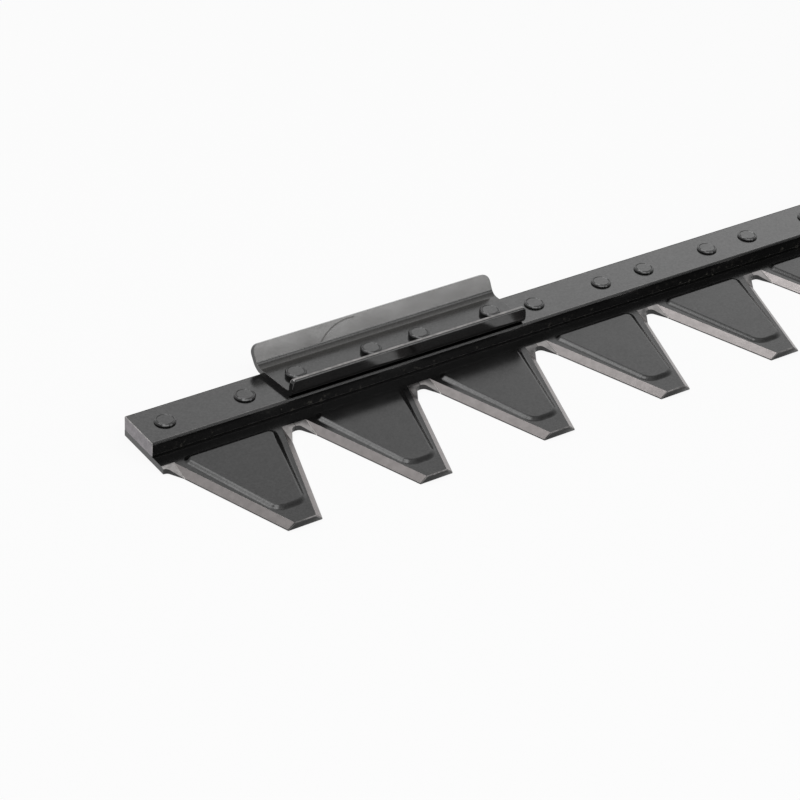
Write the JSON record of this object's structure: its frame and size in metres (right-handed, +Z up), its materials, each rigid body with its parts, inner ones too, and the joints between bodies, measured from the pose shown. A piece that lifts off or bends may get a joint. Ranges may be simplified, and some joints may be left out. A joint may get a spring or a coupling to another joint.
{
  "type": "sickle bar mower knife",
  "caption": "Black-painted sickle bar mower knife: ground triangular sections riveted under a flat bar, with a folded drive channel on top near one end.",
  "frame": {"origin": "on the undersides of the sections, at the middle of the knife's length, on the rivet line", "axes": "+X along the knife, away from the end that carries the drive channel; the sections point to -Y; +Z up, from the sections to the bar"},
  "size_m": [0.8382, 0.1183, 0.0249],
  "materials": {
    "bar_paint": "semi-gloss black paint on rolled flat steel bar",
    "channel_paint": "semi-gloss black paint on folded steel sheet",
    "rivet_paint": "semi-gloss black paint on steel rivet heads",
    "section_steel": "hardened steel plate, painted black, with ground bevels along both cutting edges"
  },
  "bodies": {
    "root": {"knife_back": "bar_paint", "drive_channel": "channel_paint", "knife_section_01": "section_steel", "knife_section_02": "section_steel", "knife_section_03": "section_steel", "knife_section_04": "section_steel", "knife_section_05": "section_steel", "knife_section_06": "section_steel", "knife_section_07": "section_steel", "knife_section_08": "section_steel", "knife_section_09": "section_steel", "knife_section_10": "section_steel", "knife_section_11": "section_steel", "section_rivets": "rivet_paint", "channel_rivets": "rivet_paint"}
  },
  "joints": []
}
